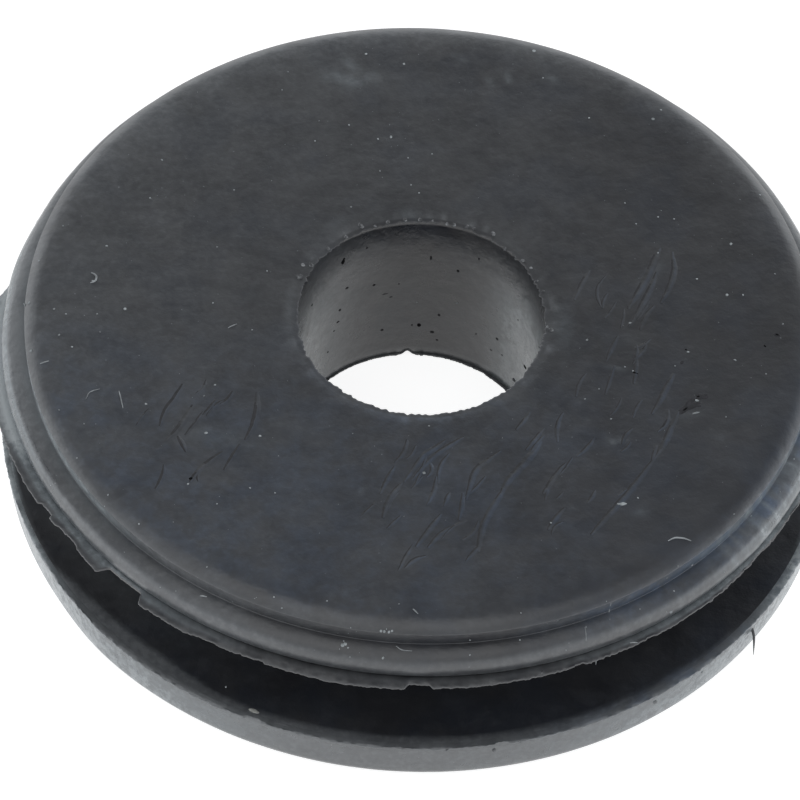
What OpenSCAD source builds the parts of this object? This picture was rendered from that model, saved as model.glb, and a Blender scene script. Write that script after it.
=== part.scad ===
// Rubber grommet: a one-piece moulded rubber ring that lines a round hole in a panel.
// The panel sits in the groove between the two flanges, and a cable passes through the bore.
// Millimetres. The bore is on the Z axis, the lower face rests on Z = 0, and -Y is the front.

/* [Overall] */
// Diameter over the rims of the two flanges
flange_d = 20; // [18:0.5:26]
// Height from the lower face to the upper face
height = 5; // [4.8:0.1:7]
// Diameter of the cable bore
bore_d = 6; // [3:0.1:9]
// Rounding of the edge at each end of the bore
bore_edge_r = 0.08; // [0.05:0.01:0.3]

/* [Groove] */
// Diameter of the neck at the bottom of the groove, which fills the panel hole
neck_d = 14; // [12:0.1:15.5]
// Width of the groove, a little over the thickness of the panel
groove_w = 2.6; // [1:0.1:2.7]
// Fillet between the neck and each flange
neck_fillet_r = 0.3; // [0.1:0.05:0.45]

/* [Upper flange] */
// Radius of the round bead along the widest line of the rim
bead_r = 0.32; // [0.28:0.01:0.34]
// How far the waist above the bead is set in from the widest line
waist_depth = 0.45; // [0.3:0.05:0.5]
// Rounding of the shoulder where the flat face turns down into the waist
shoulder_r = 0.5; // [0.45:0.05:0.55]
// Width of the rounded shoulder outside the flat face
shoulder_w = 0.4; // [0.2:0.05:0.45]

/* [Lower flange] */
// Thickness of the lower flange
lower_t = 1.2; // [0.9:0.1:1.4]
// Rounding of its outer edge at the lower face
lower_edge_r = 0.25; // [0.1:0.05:0.5]

/* [Mould flash] */
// Thickness of the thin skin of flash left at each parting line
flash_t = 0.1; // [0.06:0.01:0.2]
// How far the flash of the upper flange stands out from the bead
upper_flash = 0.37; // [0.1:0.01:0.6]
// How far the flash of the lower flange stands out from its rim
lower_flash = 0.15; // [0.05:0.01:0.4]
// Angle of the wide tear in the upper flash, from the front towards +X
wide_tear_at = -41; // [-80:0.5:-20]
// Length of rim that the wide tear lays bare
wide_tear_w = 1.3; // [0.6:0.1:2.4]
// Angle of the small tear in the upper flash, from the front towards +X
small_tear_at = 2.5; // [-10:0.5:40]
// Length of rim that the small tear lays bare
small_tear_w = 0.6; // [0.2:0.1:1]

/* [Hidden] */
$fn = 96;

bore_r = bore_d / 2;
neck_r = neck_d / 2;
flange_r = flange_d / 2;
upper_t = height - lower_t - groove_w;
upper_z = height - upper_t;
waist_r = flange_r - waist_depth;
face_r = waist_r - shoulder_w;
bead_z = upper_z + bead_r;
small_tear_root_r = flange_r + upper_flash / 2;
overlap = 0.01;

// A ring section: a rectangle from the bore wall out to radius r, between z0 and z1.
module slab(r, z0, z1) {
    translate([bore_r, z0])
        square([r - bore_r, z1 - z0]);
}

// A quarter-round piece with its square corner at (r, z), reaching size to +X.
// up is 1 where it lies below z and -1 where it lies above.
module corner_2d(r, z, size, up) {
    difference() {
        translate([r - overlap, up > 0 ? z - size : z - overlap])
            square([size + overlap, size + overlap]);
        translate([r + size, z - up * size])
            circle(r = size);
    }
}

// Section of the upper flange: flat face, rounded shoulder, narrow waist and bead.
module upper_flange_2d() {
    slab(face_r, upper_z, height);
    slab(waist_r, upper_z, height - shoulder_r);
    intersection() {
        slab(waist_r, upper_z, height);
        translate([face_r, height - shoulder_r])
            circle(r = shoulder_r);
    }
    translate([flange_r - bead_r, bead_z])
        circle(r = bead_r);
}

// Section of the lower flange: a plain disc with its bottom edge rounded.
module lower_flange_2d() {
    slab(flange_r - lower_edge_r, 0, lower_t);
    slab(flange_r, lower_edge_r, lower_t);
    translate([flange_r - lower_edge_r, lower_edge_r])
        circle(r = lower_edge_r);
}

// Section of the neck, with a fillet in both corners of the groove.
module neck_2d() {
    slab(neck_r, lower_t - overlap, upper_z + overlap);
    corner_2d(neck_r, upper_z, neck_fillet_r, 1);
    corner_2d(neck_r, lower_t, neck_fillet_r, -1);
}

// Section of the moulding on one side of the axis, with the ends of the bore eased.
module moulding_2d() {
    difference() {
        union() {
            upper_flange_2d();
            neck_2d();
            lower_flange_2d();
        }
        corner_2d(bore_r, height, bore_edge_r, 1);
        corner_2d(bore_r, 0, bore_edge_r, -1);
    }
}

// Outline of a tear: a round root at radius root_r, open at the edge of the flash.
// at is the angle from the front towards +X.
module tear_2d(at, width, root_r) {
    rotate(at - 90)
        translate([root_r + width / 2, 0]) {
            circle(d = width);
            translate([0, -width / 2])
                square([width + upper_flash, width]);
        }
}

// Flash: a thin ring that stands out from the rim of a flange at its parting line.
module flash_ring(reach, z) {
    translate([0, 0, z])
        linear_extrude(height = flash_t)
            difference() {
                circle(r = flange_r + reach);
                circle(r = flange_r - bead_r);
            }
}

// Flash of the upper flange, torn away in two places.
module torn_flash() {
    difference() {
        flash_ring(upper_flash, upper_z);
        translate([0, 0, upper_z - overlap])
            linear_extrude(height = flash_t + 2 * overlap) {
                tear_2d(wide_tear_at, wide_tear_w, flange_r);
                tear_2d(small_tear_at, small_tear_w, small_tear_root_r);
            }
    }
}

// The whole grommet: the moulding with its flash, in one solid.
module grommet() {
    color([0.13, 0.14, 0.16])
        union() {
            rotate_extrude()
                moulding_2d();
            torn_flash();
            flash_ring(lower_flash, lower_t - flash_t);
        }
}

grommet();
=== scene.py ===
"""Looks of a small moulded rubber grommet: its surface with its painted light and shade, torn
flash, dust and lint.
"""

import math

import bpy
import numpy as np
from mathutils import Matrix, Vector
from mathutils.bvhtree import BVHTree


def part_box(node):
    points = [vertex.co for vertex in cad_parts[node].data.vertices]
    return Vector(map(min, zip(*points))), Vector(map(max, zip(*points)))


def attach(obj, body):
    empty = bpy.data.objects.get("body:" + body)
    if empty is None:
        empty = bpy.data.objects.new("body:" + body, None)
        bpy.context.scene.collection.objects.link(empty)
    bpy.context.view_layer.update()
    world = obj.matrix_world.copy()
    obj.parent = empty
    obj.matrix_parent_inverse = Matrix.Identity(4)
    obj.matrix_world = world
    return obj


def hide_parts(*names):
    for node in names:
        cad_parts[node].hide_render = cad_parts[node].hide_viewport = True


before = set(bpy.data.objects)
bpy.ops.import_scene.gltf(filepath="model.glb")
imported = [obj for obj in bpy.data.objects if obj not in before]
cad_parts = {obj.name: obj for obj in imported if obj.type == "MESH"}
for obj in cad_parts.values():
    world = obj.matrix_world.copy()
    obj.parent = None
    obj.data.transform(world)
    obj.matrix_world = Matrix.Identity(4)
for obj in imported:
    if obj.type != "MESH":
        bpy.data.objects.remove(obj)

bl_info = {
    "name": "Rubber Grommet",
    "version": (1, 0, 0),
    "blender": (4, 5, 0),
    "location": "3D View > Sidebar > Grommet",
    "description": "Dresses a moulded rubber grommet with its finish, flash, dust and lint",
    "category": "Object",
}

MM = 0.001
LOW, HIGH = (Vector(c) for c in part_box("grommet"))
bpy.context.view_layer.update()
TOP = HIGH.z
FACE_SINK = 0.022    # mm the moulded face lies below the crest of its dust

# The parts of the moulding, by height and by radius in mm.
LEDGE_LOW, LEDGE_HIGH = 1.165, 1.3
BEAD_LOW, BEAD_HIGH = 3.6, 4.3
WALL_LOW, WALL_HIGH = 4.24, 4.78
FACE_LOW = 4.94
BORE_OUT, NECK_OUT, RIM_IN, EDGE_IN = 3.1, 7.4, 9.0, 9.6

# The view: its rise and small turns in degrees, its distance in m, and its long lens as a focal
# length in spots. The view is 800 spots wide and high.
RISE, YAW, PITCH, ROLL = 49.857, -0.114, 0.583, -3.106
DISTANCE = 0.2
ZOOM = 8369.0
SPOTS_WIDE = 800
SENSOR = 36.0

RUBBER = "Dull black rubber"
CARRIERS = ("moulding", "upper_flash", "lower_flash", "bore_flash")


# ---------------------------------------------------------------- sizes and colours

def length(name, text, metres):
    return bpy.props.FloatProperty(name=name, description=text, default=metres, unit="LENGTH")


def tint(name, text, *rgb):
    return bpy.props.FloatVectorProperty(name=name, description=text, default=rgb, size=3,
                                         subtype="COLOR")


class GrommetSizes(bpy.types.PropertyGroup):
    """Sizes of the moulding, the same as the solid's."""

    flange_radius: length("Flange radius", "Radius over the bead of the rim", 0.010)
    bore_radius: length("Bore radius", "Radius of the cable bore", 0.003)
    neck_radius: length("Neck radius", "Radius of the neck at the bottom of the groove", 0.007)
    upper_thickness: length("Upper flange", "Thickness of the beaded upper flange", 0.0012)
    lower_thickness: length("Lower flange", "Thickness of the plain lower flange", 0.0012)
    flash_thickness: length("Flash thickness", "Thickness of the flash at its root", 0.0001)
    columns: bpy.props.IntProperty(
        name="Columns", description="Faces round the moulding", default=600, min=64)


class GrommetFinish(bpy.types.PropertyGroup):
    """Colours of the rubber, of what lies on it, and of the light and shade painted on it."""

    rubber: tint("Rubber", "Colour of the clean rubber", 0.0124, 0.0127, 0.0158)
    # Bloom: a pale film, and painted light where the film is raised at the sides, rims, crease,
    # ledge and lower edge.
    bloom_and_light: tint("Bloom", "Pale film on rubbed and dusty rubber", 0.112, 0.118, 0.124)
    # Painted bluish reflection: base and film colours where the front of the face and the front
    # right rims catch a bluish light.
    blue_reflection_base: tint("Bluish patches", "Rubber where the film turns bluish",
                     0.0085, 0.0130, 0.0235)
    blue_reflection_film: tint("Bluish bloom", "Film where it turns bluish", 0.082, 0.114, 0.170)
    # Chalk: real chalky smears on the face, and painted side light on the rims, the lower edge and
    # the bore's flanks.
    chalk_and_side_light: tint("Chalk", "Chalky smears on the face", 0.190, 0.215, 0.230)
    # Talc: painted glare, a pale colour where the painted side light is strongest at the sides of
    # the rims.
    talc_and_glare: tint("Talc", "Thick pale powder at the sides of the rims", 0.50, 0.53, 0.54)
    # Torn edge: a painted highlight on the thin torn lip of the flash; the same tone is the dark
    # of the crumbs.
    torn_rubber_and_edge_glint: tint("Torn edge", "Thin torn rubber, which looks paler", 0.038, 0.039, 0.043)
    crumb: tint("Crumbs", "Crumbs of torn rubber", 0.300, 0.310, 0.320)
    # Nicks: painted shade inside nicks and pits, and along the foot of the wrinkles.
    nick: tint("Nicks", "Inside of nicks and pits", 0.0035, 0.0035, 0.0040)
    chip: tint("Pale chip", "Pale chip lying in the groove", 0.440, 0.440, 0.410)
    dust: tint("Dust", "Mineral dust grains", 0.42, 0.45, 0.46)
    lint: tint("Lint", "Textile fibres", 0.36, 0.38, 0.39)
    roughness: bpy.props.FloatProperty(
        name="Roughness", description="Roughness of the moulded face",
        default=0.42, min=0.0, max=1.0, subtype="FACTOR")


def sizes():
    return bpy.context.scene.grommet_sizes


def finish():
    return bpy.context.scene.grommet_finish


# ---------------------------------------------------------------- node helpers

class Value:
    """An output of a node, which plain arithmetic works on."""

    def __init__(self, wiring, socket):
        self.wiring, self.socket = wiring, socket

    def __add__(self, other):
        return self.wiring.math("ADD", self, other)

    def __sub__(self, other):
        return self.wiring.math("SUBTRACT", self, other)

    def __rsub__(self, other):
        return self.wiring.math("SUBTRACT", other, self)

    def __mul__(self, other):
        return self.wiring.math("MULTIPLY", self, other)

    def __rmul__(self, other):
        return self.wiring.math("MULTIPLY", other, self)

    def __truediv__(self, other):
        return self.wiring.math("DIVIDE", self, other)


class Wiring:
    """Adds nodes to a tree and joins them, with plain numbers allowed as inputs."""

    def __init__(self, tree):
        self.tree = tree

    def feed(self, socket, value):
        if isinstance(value, Value):
            self.tree.links.new(value.socket, socket)
        elif value is not None:
            socket.default_value = value

    def node(self, kind, inputs=(), **settings):
        """A node with its settings and inputs, and its outputs by name."""
        made = self.tree.nodes.new(kind)
        for key, value in settings.items():
            setattr(made, key, value)
        for key, value in dict(inputs).items():
            self.feed(made.inputs[key], value)
        return {socket.name: Value(self, socket) for socket in reversed(list(made.outputs))}, made

    def get(self, kind, inputs=(), out=0, **settings):
        """One output of such a node."""
        return Value(self, self.node(kind, inputs, **settings)[1].outputs[out])

    def parts(self, vector):
        """The X, Y and Z of a vector."""
        outputs, _ = self.node("ShaderNodeSeparateXYZ", {0: vector})
        return outputs["X"], outputs["Y"], outputs["Z"]

    def math(self, operation, a, b=None, clamp=False):
        _, made = self.node("ShaderNodeMath", operation=operation, use_clamp=clamp)
        for socket, value in zip(made.inputs, (a, b)):
            self.feed(socket, value)
        return Value(self, made.outputs[0])

    def vector(self, operation, a, b=None, scale=None):
        inputs = {0: a, 1: b} if scale is None else {0: a, "Scale": scale}
        return self.get("ShaderNodeVectorMath", inputs, "Vector", operation=operation)

    def ramp(self, value, low, high, to_low=0.0, to_high=1.0, smooth=True):
        return self.get("ShaderNodeMapRange",
                        {"Value": value, "From Min": low, "From Max": high,
                         "To Min": to_low, "To Max": to_high},
                        interpolation_type="SMOOTHSTEP" if smooth else "LINEAR")

    def between(self, value, to_low, to_high):
        """A value of 0 to 1 spread evenly between two others."""
        return self.ramp(value, 0.0, 1.0, to_low, to_high, smooth=False)

    def mix(self, factor, a, b):
        a, b = (c if isinstance(c, Value) else (*c, 1.0) for c in (a, b))
        return self.get("ShaderNodeMix", {"Factor": factor, "A": a, "B": b},
                        "Result", data_type="RGBA")

    def noise(self, vector, scale, detail=2.0, rough=0.5, w=None, out="Fac"):
        inputs = {"Vector": vector, "Scale": scale, "Detail": detail, "Roughness": rough}
        if w is None:
            return self.get("ShaderNodeTexNoise", inputs, out)
        return self.get("ShaderNodeTexNoise", {**inputs, "W": w}, out, noise_dimensions="4D")

    def place(self):
        """Where the shaded point of a piece is, in mm."""
        return self.vector("SCALE", self.get("ShaderNodeTexCoord", out="Object"), scale=1 / MM)


def new_tree(name, kind, inputs, outputs):
    """A new node group with the given sockets: its wiring and its inputs by name."""
    tree = bpy.data.node_groups.new(name, kind)
    for label, socket, value in inputs:
        made = tree.interface.new_socket(label, in_out="INPUT", socket_type="NodeSocket" + socket)
        if value is not None:
            made.default_value = value
    for label, socket in outputs:
        tree.interface.new_socket(label, in_out="OUTPUT", socket_type="NodeSocket" + socket)
    w = Wiring(tree)
    return w, w.node("NodeGroupInput")[0]


def tree_named(name, maker):
    return bpy.data.node_groups.get(name) or maker(name)


# ---------------------------------------------------------------- the section

def arc(cx, cz, radius, start, end, count):
    """Points of an arc from start to end, in degrees from +r towards +z."""
    turns = np.radians(np.linspace(start, end, count))
    return [(cx + radius * math.cos(t), cz + radius * math.sin(t)) for t in turns]


def run(a, b, count):
    """Points along a straight run from a to b, without b."""
    return [(a[0] + (b[0] - a[0]) * i / count, a[1] + (b[1] - a[1]) * i / count)
            for i in range(count)]


def bend(points, heading, length, turn, steps):
    """Runs a section on from its last point, turning it evenly; above zero is downward."""
    for _ in range(steps):
        way = math.radians(heading + turn / steps / 2)
        r, z = points[-1]
        points.append((r + length / steps * math.cos(way), z - length / steps * math.sin(way)))
        heading += turn / steps
    return heading


# The rim from the face to the bead: length in mm, turn in degrees, steps. The shortest runs hold
# the shading at the tight corners.
RIM_BENDS = ((0.31, 7, 4), (0.42, 41, 7), (0.006, 0, 1), (0.018, 45, 2), (0.006, 0, 1),
             (0.34, 5, 3), (0.006, 0, 1), (0.012, -97, 2), (0.006, 0, 1), (0.37, 31, 6))
BEAD_RADIUS, BEAD_TURN = 0.37, 118


def moulding_section():
    """The section as (r, z) in mm, from the bottom of the bore, up, out and back."""
    s = sizes()
    bore, neck, rim = (x / MM for x in (s.bore_radius, s.neck_radius, s.flange_radius))
    face = TOP / MM - FACE_SINK
    upper = TOP / MM - s.upper_thickness / MM
    lower = s.lower_thickness / MM
    ease, fillet, edge, corner = 0.06, 0.3, 0.25, 0.02
    p = run((bore - 0.03, ease), (bore - 0.03, 3.6), 13)
    for z in np.linspace(3.6, face - 0.10, 12):
        p.append((bore - 0.03 + 0.115 * ((z - 3.6) / (face - 3.7)) ** 2, z))
    p += [(bore + 0.045, face - 0.075), (bore, face - 0.050), (bore - 0.004, face - 0.036),
          (bore + 0.008, face - 0.024)]
    for r in np.linspace(bore + 0.04, bore + 0.34, 7):
        p.append((r, face - 0.020 * ((bore + 0.36 - r) / 0.32) ** 2))
    p += run((bore + 0.40, face), (rim - 1.20, face), 37)
    p.append((rim - 1.20, face))
    heading = 0.0
    for step in RIM_BENDS:
        heading = bend(p, heading, *step)
    bend(p, heading, BEAD_RADIUS * math.radians(BEAD_TURN), BEAD_TURN, 15)
    p += run((p[-1][0] - 0.06, p[-1][1] - 0.01), (rim - 0.8, upper), 2)
    p += run((rim - 0.8, upper), (neck + fillet, upper), 4)
    p += arc(neck + fillet, upper - fillet, fillet, 90, 180, 5)
    p += run((neck, upper - fillet), (neck, lower + fillet), 2)[1:]
    p += arc(neck + fillet, lower + fillet, fillet, 180, 270, 5)
    p += run((neck + fillet, lower), (rim - 0.50, lower), 4)[1:]
    p += run((rim - 0.50, lower), (rim - corner, lower), 5)
    p += arc(rim - corner, lower - corner, corner, 90, 0, 3)
    p += run((rim, lower - corner), (rim, edge), 4)[1:]
    p += arc(rim - edge, edge, edge, 0, -90, 6)
    p += run((rim - edge, 0.0), (bore + 0.30, 0.0), 4)[1:]
    p += [(bore + 0.30, 0.0), (bore + ease, 0.0), (bore - 0.01, 0.02)]
    return p


# ---------------------------------------------------------------- geometry trees

def geometry_tree(name, source, inputs, result):
    """A geometry tree that takes a source and a material: its wiring and its inputs."""
    return new_tree(name, "GeometryNodeTree",
                    ((source, "Geometry", None), *inputs, ("Material", "Material", None)),
                    ((result, "Geometry"),))


def realized(w, geometry):
    return w.get("GeometryNodeRealizeInstances", {"Geometry": geometry})


def put_out(w, given, geometry):
    """Ends a geometry tree with its material."""
    painted = w.get("GeometryNodeSetMaterial",
                    {"Geometry": geometry, "Material": given["Material"]})
    w.node("NodeGroupOutput", {0: painted})
    return w.tree


def moved(w, geometry, **how):
    """Geometry with its points moved to a position or by an offset."""
    return w.get("GeometryNodeSetPosition",
                 {"Geometry": geometry, **{key.title(): value for key, value in how.items()}})


def stored(w, name, kind="FLOAT"):
    return w.get("GeometryNodeInputNamedAttribute", {"Name": name}, data_type=kind)


def turned_tree(name):
    """Geometry nodes that turn a section about Z and leave it slightly uneven."""
    w, given = geometry_tree(name, "Section", (
        ("Columns", "Int", 720), ("Rows", "Int", 100), ("Unevenness", "Float", 0.00001),
        ("Unevenness scale", "Float", 900.0)), "Moulding")
    here = w.get("GeometryNodeInputPosition")
    grid = w.get("GeometryNodeMeshGrid",
                 {"Size X": 1.0, "Size Y": 1.0, "Vertices X": given["Columns"] + 1,
                  "Vertices Y": given["Rows"] + 1})
    across, along, _ = w.parts(here)
    angle = (across + 0.5) * math.tau
    row = w.math("ROUND", (along + 0.5) * given["Rows"])
    radius, _, height = w.parts(w.get(
        "GeometryNodeSampleIndex",
        {"Geometry": given["Section"], "Value": here,
         "Index": w.math("MODULO", row, given["Rows"])},
        "Value", data_type="FLOAT_VECTOR", domain="POINT"))
    turned = moved(w, grid, position=w.get("ShaderNodeCombineXYZ", {
        "X": radius * w.math("COSINE", angle), "Y": radius * w.math("SINE", angle),
        "Z": height}))
    merged = w.get("GeometryNodeMergeByDistance", {"Geometry": turned, "Distance": 1e-7})
    swell = (w.noise(here, given["Unevenness scale"], 3.0, w=3.7) - 0.05) * given["Unevenness"]
    uneven = moved(w, merged, offset=w.vector(
        "SCALE", w.get("GeometryNodeInputNormal"), scale=swell))
    return put_out(w, given, realized(w, w.get("GeometryNodeSetShadeSmooth",
                                               {"Geometry": uneven})))


def off_centre(w, scale, seed):
    """A random vector at each point, each part of it between -0.5 and 0.5."""
    drift = w.noise(w.get("GeometryNodeInputPosition"), scale, 1.0, w=seed, out="Color")
    return w.vector("SUBTRACT", drift, (0.5, 0.5, 0.5))


def grains_tree(name):
    """Geometry nodes that put an irregular grain on every point, turned and sized by it."""
    w, given = geometry_tree(name, "Spots", (
        ("Fineness", "Int", 1), ("Roughness of shape", "Float", 0.6)), "Grains")
    facing = w.get("FunctionNodeEulerToRotation", {0: stored(w, "turn", "FLOAT_VECTOR")})
    placed = w.get("GeometryNodeInstanceOnPoints", {
        "Points": given["Spots"], "Rotation": facing, "Scale": stored(w, "span", "FLOAT_VECTOR"),
        "Instance": w.get("GeometryNodeMeshIcoSphere",
                          {"Radius": 1.0, "Subdivisions": given["Fineness"]})})
    lumps = w.vector("SCALE", off_centre(w, 42000.0, 8.3),
                     scale=stored(w, "size") * given["Roughness of shape"])
    return put_out(w, given, moved(w, realized(w, placed), offset=lumps))


def creased_section(w, ring_x, ring_y):
    """A ring pressed into a low ridge: a crest off its middle, flanks that sink, a flat back."""
    hump = (ring_x - 0.22) / 0.46
    crest = w.math("EXPONENT", hump * hump * -1.0) * -0.075
    sunk = w.math("POWER", w.math("ABSOLUTE", ring_x), 4.0) * 0.085
    above = w.math("LESS_THAN", ring_y, 0.001)
    return w.get("ShaderNodeCombineXYZ",
                 {"X": ring_x, "Y": (crest + sunk) * above + 0.26 * (1.0 - above)})


def strands_tree(name):
    """Geometry nodes that sweep a round or a creased section along every drawn line."""
    w, given = geometry_tree(name, "Lines", (
        ("Step", "Float", 0.00004), ("Sides", "Int", 6), ("Creased", "Float", 0.0),
        ("Wander", "Float", 0.000006)), "Strands")
    here = w.get("GeometryNodeInputPosition")
    smooth = w.get("GeometryNodeCurveSplineType",
                   {0: w.get("GeometryNodeMeshToCurve", {0: given["Lines"]})},
                   spline_type="CATMULL_ROM")
    close = w.get("GeometryNodeResampleCurve", {"Curve": smooth, "Length": given["Step"]},
                  mode="LENGTH")
    level_off = w.vector("MULTIPLY", off_centre(w, 9000.0, 1.9), (1.0, 1.0, 0.0))
    wavy = moved(w, close, offset=w.vector("SCALE", level_off, scale=given["Wander"]))
    level = w.get("GeometryNodeSetCurveNormal", {0: wavy}, mode="Z_UP")
    ring = w.get("GeometryNodeCurvePrimitiveCircle",
                 {"Resolution": given["Sides"], "Radius": 1.0})
    ring_x, ring_y, _ = w.parts(here)
    _, blend = w.node("ShaderNodeMix", {"Factor": given["Creased"]}, data_type="VECTOR")
    ends = [i for i in blend.inputs if i.type == "VECTOR" and i.name in "AB"]
    for socket, value in zip(ends, (here, creased_section(w, ring_x, ring_y))):
        w.feed(socket, value)
    mixed = Value(w, next(o for o in blend.outputs if o.type == "VECTOR"))
    marked = w.get("GeometryNodeStoreNamedAttribute",
                   {"Geometry": ring, "Name": "across", "Value": ring_x},
                   data_type="FLOAT", domain="POINT")
    swept = w.get("GeometryNodeCurveToMesh",
                  {"Curve": level, "Profile Curve": moved(w, marked, position=mixed),
                   "Scale": stored(w, "thick"), "Fill Caps": True})
    return put_out(w, given, realized(w, w.get("GeometryNodeSetShadeSmooth",
                                               {"Geometry": swept})))


# ---------------------------------------------------------------- pieces

def linked(name, data):
    """A new object in the scene."""
    piece = bpy.data.objects.new(name, data)
    bpy.context.scene.collection.objects.link(piece)
    return piece


def made_by(tree, source, name, values):
    """Runs a geometry tree on a source object and returns the result as a plain piece."""
    mod = source.modifiers.new("making", "NODES")
    mod.node_group = tree
    for item in tree.interface.items_tree:
        if item.item_type == "SOCKET" and item.in_out == "INPUT" and item.name in values:
            mod[item.identifier] = values[item.name]
    bpy.context.view_layer.update()
    graph = bpy.context.evaluated_depsgraph_get()
    mesh = bpy.data.meshes.new_from_object(source.evaluated_get(graph))
    source.modifiers.remove(mod)
    bpy.data.objects.remove(source, do_unlink=True)
    mesh.name = name
    kept = [m for m in mesh.materials if m]
    mesh.materials.clear()
    for material in kept:
        mesh.materials.append(material)
    mesh.polygons.foreach_set("material_index", [0] * len(mesh.polygons))
    return linked(name, mesh)


def plain_object(name, points, edges=(), faces=()):
    mesh = bpy.data.meshes.new(name)
    mesh.from_pydata([tuple(p) for p in points], list(edges), list(faces))
    mesh.update()
    return linked(name, mesh)


def chain(start, count):
    """The edges that join count points one after another."""
    return [(i, i + 1) for i in range(start, start + count - 1)]


def store(piece, name, values):
    """Keeps one number for each point of a piece, for its material to read."""
    layer = piece.data.attributes.new(name, "FLOAT", "POINT")
    layer.data.foreach_set("value", np.ascontiguousarray(values, dtype=np.float32))


def points_of(mesh):
    co = np.empty(len(mesh.vertices) * 3)
    mesh.vertices.foreach_get("co", co)
    return co.reshape(-1, 3)


def move_points(piece, co):
    piece.data.vertices.foreach_set("co", co.reshape(-1))
    piece.data.update()


def face_outwards(mesh):
    """Turns every face round if the closed mesh encloses a negative volume."""
    mesh.calc_loop_triangles()
    n = len(mesh.loop_triangles)
    tri = np.empty(n * 3, dtype=np.int32)
    mesh.loop_triangles.foreach_get("vertices", tri)
    a, b, c = points_of(mesh)[tri].reshape(n, 3, 3).transpose(1, 0, 2)
    if np.einsum("ij,ij->i", a, np.cross(b, c)).sum() < 0:
        mesh.flip_normals()


def ride(piece):
    """Makes a piece move with the grommet."""
    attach(piece, "root")
    return piece


def settle(piece):
    """Turns a small piece's faces outwards, presses it into the solid's box and rides it."""
    for name in ("span", "turn", "size", "thick", "across"):
        layer = piece.data.attributes.get(name)
        if layer is not None:
            piece.data.attributes.remove(layer)
    face_outwards(piece.data)
    move_points(piece, np.clip(points_of(piece.data), np.array(LOW), np.array(HIGH)))
    return ride(piece)


def lay_grains(name, grains, material, fineness=2):
    """Grains as (place, normal, half sizes, turn in degrees or a direction), all in mm."""
    source = plain_object("spots", [Vector(g[0]) * MM for g in grains])
    spans, turns, least = [], [], []
    for _, normal, half, degrees in grains:
        if isinstance(degrees, Vector):
            up = Vector(normal).normalized()
            along = (degrees - up * degrees.dot(up)).normalized()
            facing = Matrix((along, up.cross(along), up)).transposed()
        else:
            facing = Vector(normal).to_track_quat("Z", "Y").to_matrix()
            facing = facing @ Matrix.Rotation(math.radians(degrees), 3, "Z")
        turns += list(facing.to_euler())
        spans += [h * MM for h in half]
        least.append(min(half) * MM)
    for label, values in (("span", spans), ("turn", turns)):
        layer = source.data.attributes.new(label, "FLOAT_VECTOR", "POINT")
        layer.data.foreach_set("vector", values)
    store(source, "size", least)
    piece = made_by(tree_named("Scattered grains", grains_tree), source, name,
                    {"Fineness": fineness, "Roughness of shape": 0.9,
                     "Material": bpy.data.materials[material]})
    return settle(piece)


def lay_strands(name, strands, material, creased=False, sides=6, step=0.04,
                wander=0.006, paint=None):
    """Strands as (points, half width at each point), in mm; paint may store masks on them."""
    points, edges, thick = [], [], []
    for line, half in strands:
        edges += chain(len(points), len(line))
        points += [Vector(p) * MM for p in line]
        thick += [h * MM for h in half]
    source = plain_object("lines", points, edges=edges)
    store(source, "thick", thick)
    piece = made_by(tree_named("Strands", strands_tree), source, name,
                    {"Step": step * MM, "Sides": sides, "Creased": 1.0 if creased else 0.0,
                     "Wander": wander * MM, "Material": bpy.data.materials[material]})
    if paint:
        paint(piece)
    return settle(piece)


# ---------------------------------------------------------------- the view and what carries a mark

def view():
    """The view's point and its right, up and back directions."""
    rise, yaw, pitch, roll = (math.radians(a) for a in (RISE, YAW, PITCH, ROLL))
    back = Vector((0, -math.cos(rise), math.sin(rise)))
    right = Vector((1, 0, 0))
    turn = (Matrix.Rotation(roll, 3, "Z") @ Matrix.Rotation(pitch, 3, "X")
            @ Matrix.Rotation(yaw, 3, "Y"))
    return (Vector((0, 0, TOP)) + back * DISTANCE,
            turn @ Matrix((right, back.cross(right), back)))


class Carrier:
    """The made surfaces, for finding the spot of one that a sight line meets first."""

    def __init__(self, *names):
        points, faces = [], []
        for name in names:
            mesh = bpy.data.objects[name].data
            start = len(points)
            points += [Vector(p) / MM for p in points_of(mesh)]
            faces += [tuple(start + i for i in f.vertices) for f in mesh.polygons]
        self.tree = BVHTree.FromPolygons(points, faces)
        self.eye, self.axes = view()

    def seen(self, u, v, must=True):
        """Place and outward normal, in mm, of the surface at a spot of the view."""
        half = SPOTS_WIDE / 2
        way = self.axes.transposed() @ Vector(((u - half) / ZOOM, (half - v) / ZOOM, -1.0))
        place, normal, _, _ = self.tree.ray_cast(self.eye / MM, way.normalized())
        if place is None and not must:
            return None, None
        if place is None:
            raise RuntimeError("nothing carries a mark at %s, %s" % (u, v))
        if normal.dot(way) > 0:
            normal.negate()
        return place, normal

    def under(self, x, y):
        """The same, straight below a point of the face."""
        return self.tree.ray_cast(Vector((x, y, 9.0)), Vector((0, 0, -1)))[:2]

    def beside(self, degrees, z):
        """The same, level with the rim at an angle from the front."""
        t = math.radians(degrees)
        out = Vector((math.sin(t), -math.cos(t), 0.0))
        return self.tree.ray_cast(Vector((0, 0, z)) + out * 15, -out)[:2]


def soft(x, low, high):
    """A smooth step from 0 at low to 1 at high."""
    t = np.clip((x - low) / (high - low), 0, 1)
    return t * t * (3 - 2 * t)


def swell(x, middle, width):
    """A smooth rise to 1 at the middle."""
    return np.exp(-((x - middle) / width) ** 2)


def waves(seed, turns, top_turn, bottom_turn=1, power=1.0):
    """A smooth, closed, random-looking curve round the ring, about -1 to 1."""
    rng = np.random.default_rng(seed)
    out = np.zeros_like(turns)
    weight = 0.0
    for k in range(bottom_turn, top_turn + 1):
        size = k ** -power
        out += size * np.cos(k * turns + rng.uniform(0, math.tau))
        weight += size * size
    return out / math.sqrt(weight / 2) / 1.6


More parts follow.
